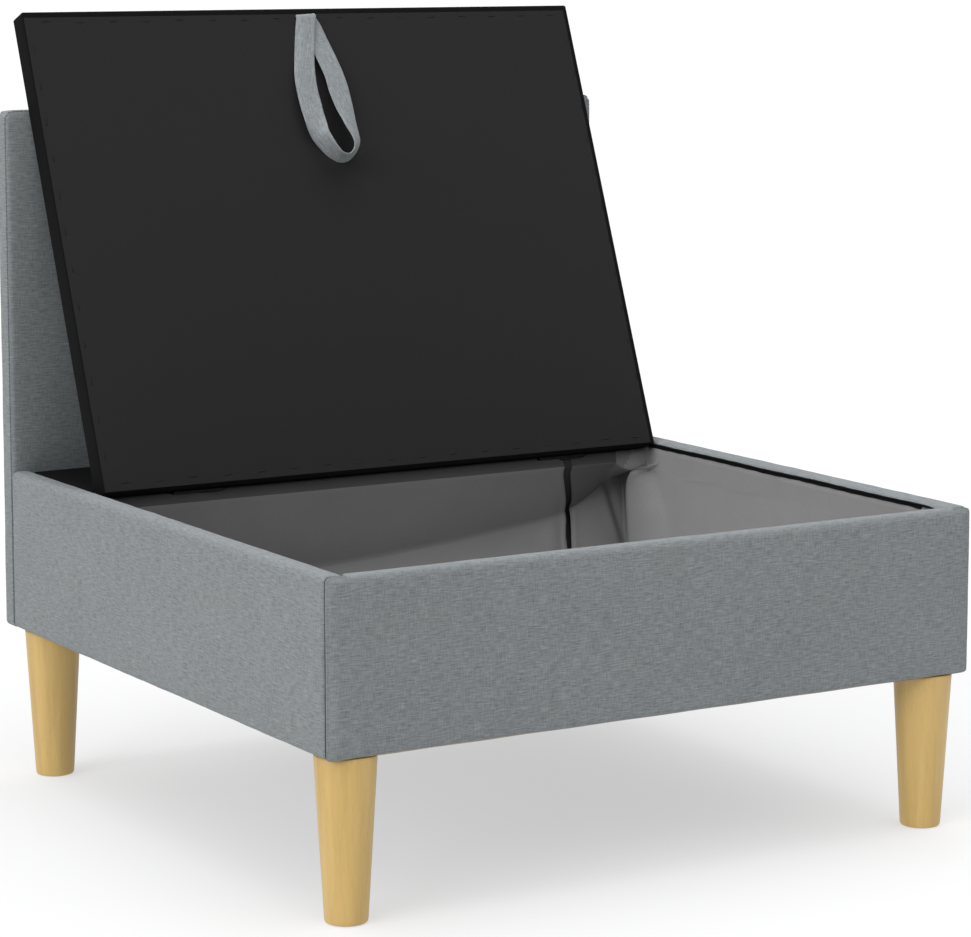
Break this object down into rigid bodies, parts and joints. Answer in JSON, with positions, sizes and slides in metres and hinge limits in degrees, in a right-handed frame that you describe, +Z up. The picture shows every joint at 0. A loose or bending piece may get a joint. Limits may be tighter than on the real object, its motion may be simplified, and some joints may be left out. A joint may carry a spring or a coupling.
{
  "type": "storage sofa",
  "caption": "Upholstered storage seat module with a thin padded backrest, a hinged seat lid with a pull strap over a lined storage box, and round tapered wooden legs.",
  "frame": {"origin": "middle of the footprint of the whole object as it stands with its lid open, on the floor", "axes": "+Z up, -Y towards the person facing the seat (front), +X to the right seen from the front"},
  "size_m": [0.75, 0.7574, 0.8301],
  "materials": {
    "grey_upholstery": "matte woven",
    "padding": "soft foam sheet",
    "felt_pad": "felt",
    "panel_board": "raw particle board",
    "fir_wood": "planed softwood",
    "fibreboard": "raw fibreboard",
    "dust_cloth": "non-woven",
    "grey_liner": "non-woven",
    "black_tape": "woven tape",
    "black_lining": "non-woven",
    "beech": "clear satin lacquer",
    "plastic_glide": "satin",
    "zinc_steel": "zinc plated",
    "staple_wire": "black enamelled wire",
    "strap_fabric": "matte woven",
    "black_steel": "black oxide"
  },
  "bodies": {
    "base": {"backrest_board": "panel_board", "backrest_bolts": "zinc_steel", "backrest_cover": "grey_upholstery", "backrest_foam": "padding", "corner_plates": "fir_wood", "deck_beam": "fir_wood", "deck_board": "panel_board", "deck_cleat_left": "fir_wood", "deck_cleat_right": "fir_wood", "deck_cover": "black_lining", "deck_pad": "felt_pad", "dust_cover": "dust_cloth", "floor_cleat_left": "fir_wood", "floor_cleat_right": "fir_wood", "floor_cross_slat": "fir_wood", "floor_panel": "fibreboard", "frame_screws": "zinc_steel", "front_rail_board": "panel_board", "front_rail_cover": "grey_upholstery", "front_rail_foam": "padding", "hanger_bolts": "zinc_steel", "hinge_deck_screws": "black_steel", "hinge_left_deck_leaf": "black_steel", "hinge_left_pin": "black_steel", "hinge_right_deck_leaf": "black_steel", "hinge_right_pin": "black_steel", "left_rail_board": "panel_board", "left_rail_cover": "grey_upholstery", "left_rail_foam": "padding", "leg_back_left": "beech", "leg_back_right": "beech", "leg_front_left": "beech", "leg_front_right": "beech", "leg_glides": "plastic_glide", "lid_rest_left": "fir_wood", "lid_rest_right": "fir_wood", "liner_back": "grey_liner", "liner_bottom": "grey_liner", "liner_flap": "grey_liner", "liner_front": "grey_liner", "liner_left": "grey_liner", "liner_right": "grey_liner", "liner_tape": "black_tape", "rear_rail_board": "panel_board", "right_rail_board": "panel_board", "right_rail_cover": "grey_upholstery", "right_rail_foam": "padding"},
    "lid": {"lid_board": "panel_board", "lid_pad": "felt_pad", "lid_cover": "black_lining", "lid_lining": "black_lining", "lid_staples": "staple_wire", "hinge_left_lid_leaf": "black_steel", "hinge_right_lid_leaf": "black_steel", "hinge_lid_screws": "black_steel", "strap_tail": "strap_fabric"},
    "strap": {"pull_strap": "strap_fabric"}
  },
  "joints": [
    {"name": "lid_hinge", "type": "hinge", "parent": "base", "child": "lid", "pos_m": [0, 0.17829, 0.3261], "axis": [1, 0, 0], "range_deg": [0, 111.3]},
    {"name": "strap_swing", "type": "hinge", "parent": "lid", "child": "strap", "pos_m": [0, 0.35034, 0.8252], "axis": [-1, 0, 0], "range_deg": [0, 36]}
  ]
}
